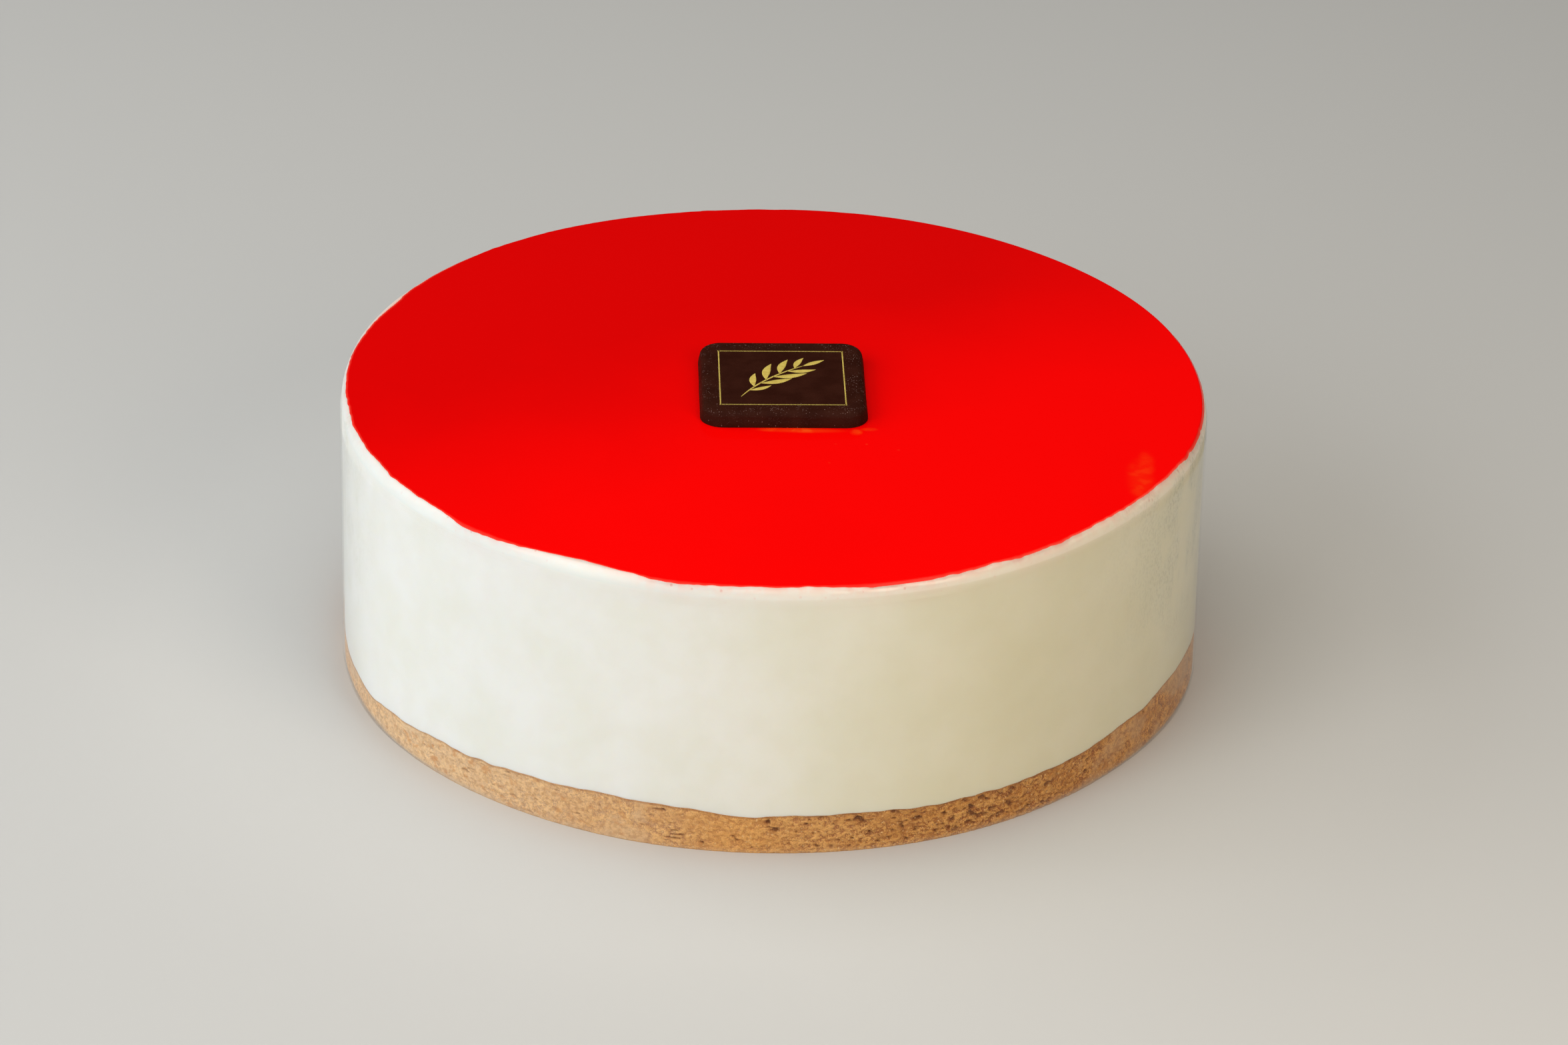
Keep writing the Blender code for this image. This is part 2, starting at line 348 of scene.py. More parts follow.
# %% Press the pores into the wall
PORE_DEPTH = 0.00080
GRAIN_DEPTH = 0.00028
CRUST_FADE = (0.00060, 0.00022)
FOOT_FADE = (0.0001, 0.0008)
FILM_PRESS = 0.00005
under_cream = ramp(line - wall_height, *CRUST_FADE)
relief = PORE_DEPTH * pore + GRAIN_DEPTH * (1 - grain) * (1 - 0.8 * moist) * (1 - 0.6 * pale)
relief *= (1 - 0.85 * under_cream) * (0.4 + 0.6 * ramp(wall_height, *FOOT_FADE))
wall_radius = side_radius(angle) - relief - FILM_PRESS
print("deepest pore:", (1000 * relief.max()).round(2), "mm")

# %% Make the sponge
LEDGE_IN = 0.0006
LEDGE_DOWN = 0.00002
BOTTOM_IN = 0.0004
FOOT_REACH = 0.00035
inside = np.full((1, SPONGE_COLUMNS), CAKE_RADIUS / 2)
flat = np.zeros_like(inside)
ledge, bottom = wall_radius[:1] - LEDGE_IN, wall_radius[-1:] - BOTTOM_IN
sponge_radius = np.vstack((inside, ledge, wall_radius, bottom, inside))
sponge_height = np.vstack((flat + SPONGE_HEIGHT, line - LEDGE_DOWN, wall_height, flat, flat))
wall_values = {
    "pore": pore,
    "grain": grain,
    "moist": moist,
    "pale": pale,
    "golden": golden,
    "under_cream": under_cream,
    "at_foot": np.exp(-wall_height / FOOT_REACH),
}
ring_values = {label: np.vstack((flat, flat, values, flat, flat)) for label, values in wall_values.items()}
sponge = round_piece("sponge", sponge_radius, sponge_height, angle, ring_values)
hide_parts("sponge_base")

# %% [markdown]
# ## The filling
# Cream cheese set against film comes out almost as smooth as plaster, with slow dents where the film wasn't
# quite straight. Its top edge is rounded, because the film stands a little away from it there. The profile
# is a quarter of an ellipse, so points are spread by the sine of the turn, which keeps them evenly spaced
# where the edge bends down. A noise here also says how far apart its rows are, before the lump's two sizes
# and the seed.

# %% Where the red ends and how the edge bends
EDGE_DOWN = 0.0029
EDGE_PAST = 0.0008
WHITE_SHARE = 0.35
cake_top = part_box("jelly_top")[1].z
dish_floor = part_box("jelly_top")[0].z - GAP


def jelly_edge(angle):
    """Radius at which the red ends: a little past the bend, with slow swells and a ragged line."""
    slow = side_radius(angle) - rim_width(angle) + swells(angle, JELLY_SWELLS)
    furthest = side_radius(angle) - WHITE_SHARE * rim_width(angle)
    return np.minimum(slow + EDGE_PAST + from_line(jelly_line, angle), furthest)


def lip_height(radius, angle):
    """Height of the rounded top edge: level, then a quarter of an ellipse down to the side."""
    width = rim_width(angle)
    out = np.clip((radius - side_radius(angle) + width) / width, 0, 1)
    return cake_top - EDGE_DOWN * (1 - np.sqrt(1 - out * out))


print("top of the cake:", round(1000 * cake_top, 1), "mm")

# %% The filling's rounded edge and side
CREAM_COLUMNS = 1080
EDGE_ROWS = 22
SIDE_ROWS = 40
LIP_LUMP = (0.0003, 0.0016, 0.0008, 41)
LIP_LUMP_DEPTH = 0.00005
SIDE_DENT = (0.0014, 0.0120, 0.0090, 42)
SIDE_DENT_DEPTH = 0.00004
SIDE_IN = 0.00003
SEAM_LAP = 0.00003
angle = np.linspace(0, 2 * math.pi, CREAM_COLUMNS, endpoint=False)
edge = jelly_edge(angle)
side = side_radius(angle)
over_edge = np.sin(np.linspace(0, math.pi / 2, EDGE_ROWS))[:, None]
lip_radius = edge + (side - edge) * over_edge
lip = lip_height(lip_radius, angle)
lip_lumps = ring_noise(EDGE_ROWS, CREAM_COLUMNS, *LIP_LUMP)
lip_radius = lip_radius - LIP_LUMP_DEPTH * (1 + lip_lumps) * np.sin(math.pi * over_edge)
shoulder = lip[-1]
foot = sponge_top(angle) - SEAM_LAP
down = np.append(np.linspace(0, 1, SIDE_ROWS)[1:-1], (0.998, 1.0))[:, None]
side_height = shoulder + (foot - shoulder) * down
dents = np.clip(ring_noise(SIDE_ROWS, CREAM_COLUMNS, *SIDE_DENT), -1.5, 1.5)
side_wall = side - SIDE_IN - SIDE_DENT_DEPTH * (1.5 + dents) * ramp(down, 0, 0.1)
print("side of the filling:", (1000 * (shoulder - foot)).min().round(1), "mm tall at least")

# %% Close the filling above and below
DISH_CORNER_IN = 0.0006
DISH_WALL_IN = 0.0001
DISH_WALL_DOWN = 0.0004
UNDER_IN = (0.00002, 0.00060)
half = np.full((1, CREAM_COLUMNS), CAKE_RADIUS / 2)
dish = np.full_like(half, dish_floor)
under_side = foot - SEAM_LAP
middle_of_sponge = np.full_like(half, SPONGE_HEIGHT)
lower = side_wall[-1:] - np.array(UNDER_IN)[:, None]
cream_radius = np.vstack(
    (half, edge - DISH_CORNER_IN, edge - DISH_WALL_IN, lip_radius, side_wall, lower, half)
)
cream_height = np.vstack(
    (dish, dish, lip[:1] - DISH_WALL_DOWN, lip, side_height, under_side, under_side, middle_of_sponge)
)

# %% Make the filling
STAIN_REACH = 0.0018
STAIN_FREE_PLACES = ((-150, 1.0, 45),)
FROST_AND_PAINTED_LIGHT_PLACES = ((-16, 1.0, 16), (-172, 0.5, 14))
FROST_HEIGHTS = (0.012, 0.045)
SHADED_FROM_TO = (-0.35, 0.60)
from_red = np.clip(cream_radius - edge, 0, None) + np.clip(lip[:1] - cream_height, 0, None)
stain = np.exp(-from_red / STAIN_REACH) * (1 - 0.65 * np.clip(swells(angle, STAIN_FREE_PLACES), 0, 1))
bare = ramp(cream_height, shoulder - 0.0002, shoulder + 0.0003)
# Where the grey flecks go: air pockets on the right, also made darker there as painted shade, and painted
# reflections of film wrinkles on the far left.
frost_and_painted_light = swells(angle, FROST_AND_PAINTED_LIGHT_PLACES) * ramp(cream_height, *FROST_HEIGHTS)
# This share carries painted shade: the filling's colour goes from a cool white on the left to a darker,
# warmer cream on the right.
shaded = np.broadcast_to(ramp(np.cos(angle), *SHADED_FROM_TO), cream_radius.shape)
cream_values = {"stain": stain, "bare": bare, "frost_and_painted_light": frost_and_painted_light, "shaded": shaded}
cream = round_piece("cream", cream_radius, cream_height, angle, cream_values)
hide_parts("cream_filling")

# %% [markdown]
# ## The jelly
# The jelly was poured as a liquid, so its top is level and mirror smooth, and it thins out to nothing where
# it meets the filling's edge. The rings are close together there, because the colour changes from deep red
# to pink within a millimetre: less jelly lies over the white below. A value on each point says how thin it
# is, made stronger on the right, where the pink is also painted light over the edge's shade.

# %% Make the jelly
JELLY_COLUMNS = 1440
JELLY_DROP = 0.0006
# Inner rings by their share of the way out, and the last of them and outer rings by how far in they lie
INNER_RINGS = np.linspace(0.06, 1, 16)[:, None]
LAST_INNER_RING = 0.0026
OUTER_RINGS = (0.0020, 0.0015, 0.0011, 0.0008, 0.0006, 0.00045, 0.0003, 0.00018, 0.00009, 0.0)
JELLY_LAP = 0.00004
JELLY_WALL_DOWN = 0.00015
UNDER_JELLY_IN = 0.0004
angle = np.linspace(0, 2 * math.pi, JELLY_COLUMNS, endpoint=False)
edge = jelly_edge(angle)
edge_height = lip_height(edge, angle)
inner_rings = INNER_RINGS * (edge - LAST_INNER_RING)
outer_rings = edge - np.array(OUTER_RINGS)[:, None]
jelly_radius = np.vstack((inner_rings, outer_rings))
falls = ramp(jelly_radius, edge - JELLY_DROP, edge)
jelly_height = cake_top + (edge_height + SEAM_LAP - cake_top) * falls
# Stronger on the right, where the pink is painted light over the edge's shade.
jelly_thin_painted_light = falls * (0.5 + 0.5 * ramp(np.cos(angle), 0.2, 0.9))
jelly_radius = np.vstack((jelly_radius, edge + JELLY_LAP, edge - UNDER_JELLY_IN, edge * 0.5))
under = np.full_like(edge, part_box("jelly_top")[0].z)
jelly_height = np.vstack((jelly_height, edge_height - JELLY_WALL_DOWN, under, under))
jelly_thin_painted_light = np.vstack((jelly_thin_painted_light, np.ones((1, JELLY_COLUMNS)), np.zeros((2, JELLY_COLUMNS))))
jelly = round_piece("jelly", jelly_radius, jelly_height, angle, {"thin": jelly_thin_painted_light})
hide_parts("jelly_top")

# %% [markdown]
# ## The plaque
# A moulded chocolate plaque has softened corners and edges, because chocolate shrinks as it sets. Its
# outline is a square with round corners, walked at an even pace, and the block is that outline drawn in by
# different amounts at different heights: in the middle of the top, over the rounded edge and down the
# slanted side.

# %% Tools for the plaque
PLAQUE_SIDE = 0.0385
PLAQUE_CORNER = 0.0050
PLAQUE_EDGE = 0.0017
PLAQUE_DRAFT = 0.0003
PLAQUE_TURN = math.radians(1.6)
plaque_low, plaque_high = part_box("chocolate_plaque")
plaque_middle = (plaque_low + plaque_high) / 2


def on_plaque(points):
    """Points in the plaque's own square, turned and moved to where it lies; heights stay as they are."""
    x = points[..., 0] * math.cos(PLAQUE_TURN) - points[..., 1] * math.sin(PLAQUE_TURN) + plaque_middle.x
    y = points[..., 0] * math.sin(PLAQUE_TURN) + points[..., 1] * math.cos(PLAQUE_TURN) + plaque_middle.y
    return np.stack((x, y, points[..., 2]), axis=-1)


def rounded_square(walk, half_side, corner):
    """Points of a square with round corners: each quarter of the walk is one side, then its corner."""
    quarter = np.floor(4 * walk)
    straight = 2 * (half_side - corner)
    distance = (4 * walk - quarter) * (straight + math.pi / 2 * corner)
    bend = np.clip(distance - straight, 0, None) / np.maximum(corner, 1e-9)
    x = half_side - corner + corner * np.cos(bend)
    y = np.where(distance < straight, distance - straight / 2, straight / 2 + corner * np.sin(bend))
    turn = quarter * math.pi / 2
    return x * np.cos(turn) - y * np.sin(turn), x * np.sin(turn) + y * np.cos(turn)


print("plaque lies round", [round(1000 * number, 1) for number in plaque_middle], "mm")

# %% How far each ring of the plaque is drawn in, and its height
TOP_RINGS = 14
EDGE_RINGS = 12
FIRST_RING_IN = 0.0170
BEFORE_EDGE = 0.0004
MID_SIDE = 0.6
FOOT_IN = 0.0001
FOOT_UP = 0.0002
UNDER_RING_IN = 0.0120
SUNK = 0.0001
rise = plaque_high.z - cake_top
bottom = cake_top - SUNK
bends = np.linspace(0, math.pi / 2, EDGE_RINGS)
drawn_in = np.concatenate(
    (
        np.linspace(FIRST_RING_IN, PLAQUE_EDGE + BEFORE_EDGE, TOP_RINGS),
        PLAQUE_EDGE * (1 - np.sin(bends)),
        (-PLAQUE_DRAFT * 0.5, -PLAQUE_DRAFT, -PLAQUE_DRAFT + FOOT_IN, UNDER_RING_IN),
    )
)
levels = np.concatenate(
    (
        np.full(TOP_RINGS, plaque_high.z),
        plaque_high.z - PLAQUE_EDGE * (1 - np.cos(bends)),
        (plaque_high.z - MID_SIDE * rise, cake_top + FOOT_UP, bottom, bottom),
    )
)
print("plaque stands", round(1000 * rise, 1), "mm above the jelly, in", len(levels), "rings")

# %% Make the plaque
PLAQUE_COLUMNS = 400
LEAST_CORNER = 0.0010
PLAQUE_LUMP = (0.0004, 0.0100, 0.0006, 51)
LUMP_SHARE = 0.0008
walk = np.arange(PLAQUE_COLUMNS)[None, :] / PLAQUE_COLUMNS
half_side = PLAQUE_SIDE / 2 - PLAQUE_DRAFT - drawn_in[:, None]
corner = np.minimum(np.maximum(PLAQUE_CORNER - drawn_in[:, None], LEAST_CORNER), half_side * 0.9)
x, y = rounded_square(walk, half_side, corner)
plaque_lumps = ring_noise(len(levels), PLAQUE_COLUMNS, *PLAQUE_LUMP)
swell = 1 + LUMP_SHARE * plaque_lumps * ramp(drawn_in[:, None], PLAQUE_EDGE + 0.0003, 0)
rings = on_plaque(np.stack((x * swell, y * swell, np.broadcast_to(levels[:, None], x.shape)), axis=-1))
ends = on_plaque(np.array(((0, 0, plaque_high.z), (0, 0, bottom))))
near_top = ramp(levels, plaque_high.z - 0.0012, plaque_high.z - 0.0003)
rim = ramp(drawn_in, 0.0060, 0.0020) * (0.15 + 0.85 * near_top)
rim = np.broadcast_to(rim[:, None], x.shape)
plaque = mesh_piece(
    "plaque",
    np.vstack((rings.reshape(-1, 3), ends)),
    ring_faces(len(levels), PLAQUE_COLUMNS),
    {"rim": np.append(rim.ravel(), (0, 0))},
)
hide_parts("chocolate_plaque")

# %% [markdown]
# ## The gold print
# The print is coloured cocoa butter a few hundredths of a millimetre thick. A frame of short strokes, like
# the milled edge of a coin, runs round a slanting sprig. A leaf is a sheet whose width grows and shrinks
# with the sine of the way along it, and whose middle line bends evenly. Leaves spring from the stem by
# turns, left and right, and bend back towards its own way. The leaves and stem go into one mesh, and so do
# the strokes of the frame, because each is one pressing.

# %% Tools for print
PRINT_THICKNESS = 0.00003
PRINT_HEIGHT = plaque_high.z + PRINT_THICKNESS


def print_piece(name, patches):
    """One mesh from flat patches, each a grid of (x, y) points: rows along, columns to the left."""
    points, faces, first = [], [], 0
    for patch_grid in patches:
        level = np.full(patch_grid.shape[:2] + (1,), PRINT_HEIGHT)
        upper = on_plaque(np.concatenate((patch_grid, level), axis=-1))
        lower = on_plaque(np.concatenate((patch_grid, level - 2 * PRINT_THICKNESS), axis=-1))
        patch_points, patch_faces = sheet_arrays(upper, lower, first)
        points.append(patch_points)
        faces.append(patch_faces)
        first += len(patch_points)
    piece = mesh_piece(name, np.vstack(points), np.vstack(faces))
    return piece


def stroke(start, way, length, width, bend=0.0, rows=24, columns=7, point=1.0):
    """A leaf or a stem: its middle line turns evenly by bend, and its width follows sin(pi u)^point."""
    u = np.linspace(0, 1, rows)[:, None]
    v = np.linspace(-0.5, 0.5, columns)[None, :]
    heading = way + bend * (u - 0.5)
    step = length / (rows - 1)
    along = np.stack((np.cos(heading), np.sin(heading)), axis=-1)
    middle = np.array(start) + np.cumsum(along, axis=0) * step - along[:1] * step
    left = np.stack((-np.sin(heading), np.cos(heading)), axis=-1)
    breadth = width * (0.04 + 0.96 * np.sin(math.pi * u) ** point)
    return middle + left * (v * breadth)[..., None]


# %% Make the frame of strokes
PRINT_MIDDLE = np.array((-0.0002, -0.0007))
FRAME_HALF = (0.01437, 0.01398)
TICKS = 98
TICK_WIDTH = 0.00031
TICK_SHARE = 0.72
DOT_LENGTH = 0.00044
DOT_WIDTH = 0.00040


def tick_row(from_corner, to_corner):
    """Short strokes across a line between two corners, each a small rectangle."""
    start, end = np.array(from_corner), np.array(to_corner)
    along = (end - start) / TICKS
    left = np.array((-along[1], along[0])) / np.linalg.norm(along) * TICK_WIDTH / 2
    ways = (0.5 - TICK_SHARE / 2, 0.5 + TICK_SHARE / 2)
    return [
        PRINT_MIDDLE
        + np.array([[start + along * (tick + way) + left * hand for hand in (-1, 1)] for way in ways])
        for tick in range(TICKS)
    ]


wide, deep = FRAME_HALF
corners = ((-wide, -deep), (wide, -deep), (wide, deep), (-wide, deep))
ticks = [patch for k in range(4) for patch in tick_row(corners[k], corners[(k + 1) % 4])]
dot = stroke((-DOT_LENGTH / 2, 0), 0, DOT_LENGTH, DOT_WIDTH, rows=3, columns=2, point=0)
corner_dots = [PRINT_MIDDLE + np.array(corner) + dot for corner in corners]
print_frame = print_piece("print_frame", ticks + corner_dots)

# %% Make the sprig
STEM_START = (-0.0096, -0.0100)
STEM_WAY = math.radians(48)
STEM_LENGTH = 0.0226
STEM_WIDTH = 0.00045
STEM_BEND = -0.55
STEM_ROWS = 41
LEAVES = (
    (7, -1, 0.0058, 0.0014),
    (11, 1, 0.0070, 0.0016),
    (15, -1, 0.0080, 0.0019),
    (19, 1, 0.0086, 0.0019),
    (23, -1, 0.0082, 0.0019),
    (27, 1, 0.0078, 0.0018),
    (31, -1, 0.0068, 0.0016),
    (35, 1, 0.0060, 0.0015),
)
LEAF_SPREAD = math.radians(33)
LEAF_BEND = 0.55
LEAF_POINT = 1.1
TIP_LEAF = (0.0060, 0.0015)
stem = stroke(STEM_START, STEM_WAY, STEM_LENGTH, STEM_WIDTH, STEM_BEND, STEM_ROWS, columns=3, point=0.5)
patches = [PRINT_MIDDLE + stem]
for row, hand, length, width in LEAVES:
    heading = STEM_WAY + STEM_BEND * (row / (STEM_ROWS - 1) - 0.5) + hand * LEAF_SPREAD
    leaf = stroke(stem[row, 1], heading, length, width, bend=-hand * LEAF_BEND, point=LEAF_POINT)
    patches.append(PRINT_MIDDLE + leaf)
tip_way = STEM_WAY + STEM_BEND / 2
patches.append(PRINT_MIDDLE + stroke(stem[-2, 1], tip_way, *TIP_LEAF, point=LEAF_POINT))
print_sprig = print_piece("print_sprig", patches)

# %% [markdown]
# ## The film
# The clear strip was put round the inside of the ring before the cake was set, and it stays on to keep the
# side clean. It can't be seen itself, only what it mirrors. It is a sheet along a line that goes once round
# and a bit more, stepping outside its own start, and it has the slight dents that thin film gets. A value on
# its points fades out at its head, so that the cut edge can shine less.

# %% Make the film
FILM_COLUMNS = 1100
FILM_ROWS = 26
FILM_THICKNESS = 0.0002
FILM_SEAM = math.radians(8.0)
FILM_OVERLAP = math.radians(8.0)
FILM_RAMP = math.radians(14.0)
FILM_DENT = (0.0025, 0.0060, 0.0120, 61)
FILM_DENT_DEPTH = 0.00004
FILM_IN = 0.00008
HEAD_FADE = (0.0001, 0.0006)
film_foot, film_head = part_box("acetate_band")[0].z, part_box("acetate_band")[1].z
turn = np.linspace(0, 2 * math.pi + FILM_OVERLAP, FILM_COLUMNS)
angle = FILM_SEAM + turn
step_out = (FILM_THICKNESS + GAP) * ramp(turn, 2 * math.pi - FILM_RAMP, 2 * math.pi)
film_height = np.linspace(film_head, film_foot, FILM_ROWS)[:, None] + np.zeros(FILM_COLUMNS)
film_dents = FILM_DENT_DEPTH * ring_noise(FILM_ROWS, FILM_COLUMNS, *FILM_DENT)
film_dents *= ramp(turn, 0, 0.2) * ramp(turn, 2 * math.pi - 0.1, 2 * math.pi - 0.3)
film_inner = side_radius(angle) + GAP + step_out + film_dents - FILM_IN
film_outer = film_inner + FILM_THICKNESS


def film_points(radius):
    """Points round the cake at a radius for each column and row of the film."""
    return np.stack((radius * np.cos(angle), radius * np.sin(angle), film_height), axis=-1)


film_body = ramp(film_head - film_height, *HEAD_FADE).ravel()
film_sheet = sheet_arrays(film_points(film_outer), film_points(film_inner))
film = mesh_piece("film", *film_sheet, {"body": np.concatenate((film_body, film_body))})
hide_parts("acetate_band")

# %% [markdown]
# ## Tools for materials
# A material is a small network of nodes. Two effects come back in several of them, so each is a node group
# with its own sockets: a soft mottle for uneven colour, and fine flecks for flakes and dust. They read
# Object coordinates, so a pattern stays on the piece when the piece or the camera moves.

# %% Short ways to add nodes
def give(tree, socket, value):
    """Links another node's output to a socket, or sets the socket to a plain value."""
    if isinstance(value, bpy.types.NodeSocket):
        tree.links.new(value, socket)
    else:
        socket.default_value = value


def node(tree, kind, inputs=None, **settings):
    """Adds a shader node and gives each of its named or numbered inputs a value or a link."""
    made = tree.nodes.new(kind)
    for name, value in settings.items():
        setattr(made, name, value)
    for name, value in (inputs or {}).items():
        give(tree, made.inputs[name], value)
    return made


def sums(tree, operation, first, second=0.0, third=0.0):
    """A Math node's result; only a few operations, such as MULTIPLY_ADD, read the third number."""
    return node(tree, "ShaderNodeMath", {0: first, 1: second, 2: third}, operation=operation).outputs[0]


def mix(tree, share, first, second):
    """One colour blended into another by a share."""
    return node(tree, "ShaderNodeMix", {0: share, 6: first, 7: second}, data_type="RGBA").outputs[2]


def tinted(tree, colour, mask, most, tint):
    """A colour with a tint laid over it by a mask, at most by the share called most."""
    return mix(tree, sums(tree, "MULTIPLY", mask, most), colour, tint)


def spread(tree, value, low, high, to_low=0.0, to_high=1.0):
    """A value stretched from one range to another, and held inside it."""
    numbers = {0: value, 1: low, 2: high, 3: to_low, 4: to_high}
    return node(tree, "ShaderNodeMapRange", numbers, interpolation_type="SMOOTHSTEP").outputs[0]


def point_value(tree, name):
    """A value that the mesh keeps on its points."""
    return node(tree, "ShaderNodeAttribute", attribute_name=name).outputs["Fac"]


def linear(red, green, blue):
    """A shader colour from a colour as it looks on screen, each part from 0 to 255."""
    parts = np.array((red, green, blue)) / 255
    return (*np.where(parts <= 0.04045, parts / 12.92, ((parts + 0.055) / 1.055) ** 2.4).tolist(), 1.0)


# %% A new node group
def group(name, numbers):
    """An empty node group with float inputs, a vector called Stretch and one float output called Mask."""
    made = bpy.data.node_groups.new(name, "ShaderNodeTree")
    for label, value in numbers.items():
        socket = made.interface.new_socket(label, in_out="INPUT", socket_type="NodeSocketFloat")
        socket.default_value = value
    stretch = made.interface.new_socket("Stretch", in_out="INPUT", socket_type="NodeSocketVector")
    stretch.default_value = (1, 1, 1)
    made.interface.new_socket("Mask", in_out="OUTPUT", socket_type="NodeSocketFloat")
    return made


def stretched_place(tree, given):
    """Object coordinates times the group's Stretch."""
    both = {0: node(tree, "ShaderNodeTexCoord").outputs["Object"], 1: given.outputs["Stretch"]}
    return node(tree, "ShaderNodeVectorMath", both, operation="MULTIPLY").outputs[0]


# %% The mottle: soft noise between two levels
mottle = group("mottle", {"Scale": 60.0, "Detail": 3.0, "Low": 0.35, "High": 0.65})
given = mottle.nodes.new("NodeGroupInput")
noise_inputs = {"Vector": stretched_place(mottle, given)}
noise_inputs.update({label: given.outputs[label] for label in ("Scale", "Detail")})
noise = node(mottle, "ShaderNodeTexNoise", noise_inputs)
mask = spread(mottle, noise.outputs[0], given.outputs["Low"], given.outputs["High"])
mottle.links.new(mask, mottle.nodes.new("NodeGroupOutput").inputs["Mask"])
print(mottle.name, "group:", len(mottle.nodes), "nodes")

# %% The flecks: round specks in a share of the cells, each of its own size
flecks = group("flecks", {"Scale": 900.0, "Share": 0.2, "Size": 0.3})
given = flecks.nodes.new("NodeGroupInput")
cell_inputs = {"Vector": stretched_place(flecks, given), "Scale": given.outputs["Scale"]}
cells = node(flecks, "ShaderNodeTexVoronoi", cell_inputs)
chosen = node(flecks, "ShaderNodeSeparateColor", {"Color": cells.outputs["Color"]})
picked = sums(flecks, "LESS_THAN", chosen.outputs[0], given.outputs["Share"])
reach = sums(flecks, "MULTIPLY", given.outputs["Size"], sums(flecks, "ADD", chosen.outputs[1], 0.35))
near = spread(flecks, cells.outputs["Distance"], reach, sums(flecks, "MULTIPLY", reach, 0.5))
mask = sums(flecks, "MULTIPLY", picked, near)
flecks.links.new(mask, flecks.nodes.new("NodeGroupOutput").inputs["Mask"])
print(flecks.name, "group:", len(flecks.nodes), "nodes")


# %% Use a group, start a material, fill in its shader
def fill(tree, which, stretch=(1, 1, 1), **inputs):
    """A group node with its sockets given by name; returns its mask."""
    made = tree.nodes.new("ShaderNodeGroup")
    made.node_tree = which
    made.inputs["Stretch"].default_value = stretch
    for label, value in inputs.items():
        give(tree, made.inputs[label], value)
    return made.outputs["Mask"]


def finish_of(name, piece):
    """A new material on a piece, with its node tree and Principled shader."""
    material = bpy.data.materials.new(name)
    material.use_nodes = True
    piece.data.materials.clear()
    piece.data.materials.append(material)
    print("material", name, "on", piece.name)
    return material.node_tree, material.node_tree.nodes["Principled BSDF"]


def connect(tree, shader, **inputs):
    """Links or sets sockets of the shader by name, with _ for a space."""
    for label, value in inputs.items():
        give(tree, shader.inputs[label.replace("_", " ")], value)


# %% [markdown]
# ## Sponge finish
# Baked crumb is golden, darker in the hollows and paler on the peaks of its grain, partly its own tone and
# partly painted shade and painted highlight, and bright specks on its flakes are partly painted highlight
# too.
# It is brown at the crust under the filling, and its pores are painted dark brown as shade. Where moist crumb
# sticks to the film it is greyer, a painted haze of the film's reflection, and on the far left it is paler,
# partly its own colour and partly that painted haze. A pale line at the foot is a painted gleam of the film's
# bottom edge. The pores' depth is kept on the mesh's points, so the painted shade falls exactly in the holes.
# The tints are laid over one another, each by a mask of its own.

# %% Colour the sponge
SHADED_DEEP_CRUMB, LIT_HIGH_CRUMB = linear(156, 82, 20), linear(236, 173, 90)
WARM_CRUMB, MOIST_HAZE_REFLECTION = linear(202, 132, 46), linear(206, 160, 112)
PALE_HAZE_CRUMB, GOLDEN_CRUMB = linear(250, 224, 184), linear(238, 164, 66)
LUMP_BROWN, SPOT_BROWN = linear(160, 100, 46), linear(206, 134, 66)
PORE_SHADE_BROWN, CRUST_BROWN = linear(112, 56, 20), linear(160, 96, 44)
FOOT_FILM_GLEAM, BRIGHT_FLAKE_HIGHLIGHT = linear(226, 178, 118), linear(244, 208, 150)
tree, shader = finish_of("sponge_crumb", sponge)
fine = fill(tree, mottle, (1, 1, 1.1), Scale=3000, Detail=2.0, Low=0.36, High=0.64)
crumb = sums(tree, "MULTIPLY_ADD", fine, 0.9, point_value(tree, "grain"))
# Darker in the hollows and paler on the peaks: partly the crumb's own tone, partly painted shade and
# highlight.
colour = mix(tree, spread(tree, crumb, 0.1, 1.5), SHADED_DEEP_CRUMB, LIT_HIGH_CRUMB)
warm = fill(tree, mottle, (1, 1, 1.8), Scale=130, Low=0.42, High=0.64)
colour = tinted(tree, colour, warm, 0.45, WARM_CRUMB)
# Painted haze of the film's reflection where moist crumb sticks to it.
colour = tinted(tree, colour, point_value(tree, "moist"), 0.66, MOIST_HAZE_REFLECTION)
# Paler on the far left: partly the crumb's colour, partly painted haze of the film's reflection.
pale_haze_side = sums(tree, "MULTIPLY", point_value(tree, "pale"), 0.55)
colour = mix(tree, pale_haze_side, colour, PALE_HAZE_CRUMB)
lumps = fill(tree, mottle, (1, 1, 1.3), Scale=800, Detail=4.0, Low=0.46, High=0.60)
colour = tinted(tree, colour, lumps, 0.30, LUMP_BROWN)
spots = fill(tree, mottle, (1, 1, 1.5), Scale=420, Low=0.54, High=0.70)
colour = tinted(tree, colour, spots, pale_haze_side, SPOT_BROWN)
colour = tinted(tree, colour, point_value(tree, "golden"), 0.32, GOLDEN_CRUMB)
# Painted shade: the pores are coloured dark brown.
colour = tinted(tree, colour, point_value(tree, "pore"), 0.80, PORE_SHADE_BROWN)
colour = tinted(tree, colour, point_value(tree, "under_cream"), 0.50, CRUST_BROWN)
# Painted gleam of the film's bottom edge along the foot.
colour = tinted(tree, colour, point_value(tree, "at_foot"), 0.4, FOOT_FILM_GLEAM)
# Bright specks on the flakes: partly pale crumb, partly painted highlight.
flake_highlight = fill(tree, flecks, Scale=2300, Share=0.14, Size=0.5)
colour = tinted(tree, colour, flake_highlight, 0.5, BRIGHT_FLAKE_HIGHLIGHT)
smoother = sums(tree, "MAXIMUM", point_value(tree, "moist"), pale_haze_side)
rough = sums(tree, "MULTIPLY", crumb, spread(tree, smoother, 0, 0.6, 1.0, 0.2))
bump = node(tree, "ShaderNodeBump", {"Strength": 0.6, "Distance": 0.00018, "Height": rough})
connect(tree, shader, Base_Color=colour, Roughness=0.75, Normal=bump.outputs[0])
